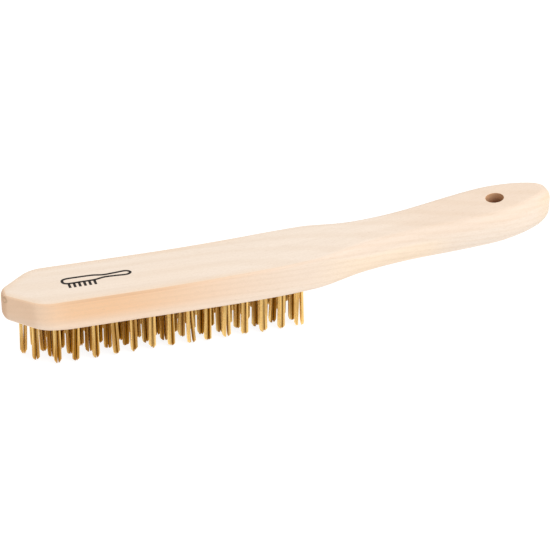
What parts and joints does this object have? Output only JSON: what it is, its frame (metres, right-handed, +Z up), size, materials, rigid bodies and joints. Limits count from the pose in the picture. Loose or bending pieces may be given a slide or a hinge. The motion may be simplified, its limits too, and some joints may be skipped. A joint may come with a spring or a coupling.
{
  "type": "hand wire brush",
  "caption": "Hand wire brush: a curved wooden block with a wide head, a rounded handle and a hanging hole, and brass wire tufts set in rows under the head.",
  "frame": {"origin": "on the plane of the wire tips, under the middle of the overall length and width", "axes": "+X from the nose to the handle end, +Z up from the wire tips to the top face, +Y to the left looking along +X"},
  "size_m": [0.291, 0.0376, 0.0549],
  "materials": {
    "wood": "sanded pale hardwood, unvarnished",
    "brass_wire": "drawn brass-coated wire",
    "anchor_steel": "flat drawn wire"
  },
  "bodies": {
    "root": {"wooden_block": "wood", "tufts_nose": "brass_wire", "tufts_rank_01": "brass_wire", "tufts_rank_02": "brass_wire", "tufts_rank_03": "brass_wire", "tufts_rank_04": "brass_wire", "tufts_rank_05": "brass_wire", "tufts_rank_06": "brass_wire", "tufts_rank_07": "brass_wire", "tufts_rank_08": "brass_wire", "tufts_rank_09": "brass_wire", "tufts_rank_10": "brass_wire", "tufts_rank_11": "brass_wire", "tufts_rank_12": "brass_wire", "tufts_rank_13": "brass_wire", "tufts_rank_14": "brass_wire", "anchors_nose": "anchor_steel", "anchors_rank_01": "anchor_steel", "anchors_rank_02": "anchor_steel", "anchors_rank_03": "anchor_steel", "anchors_rank_04": "anchor_steel", "anchors_rank_05": "anchor_steel", "anchors_rank_06": "anchor_steel", "anchors_rank_07": "anchor_steel", "anchors_rank_08": "anchor_steel", "anchors_rank_09": "anchor_steel", "anchors_rank_10": "anchor_steel", "anchors_rank_11": "anchor_steel", "anchors_rank_12": "anchor_steel", "anchors_rank_13": "anchor_steel", "anchors_rank_14": "anchor_steel"}
  },
  "joints": []
}
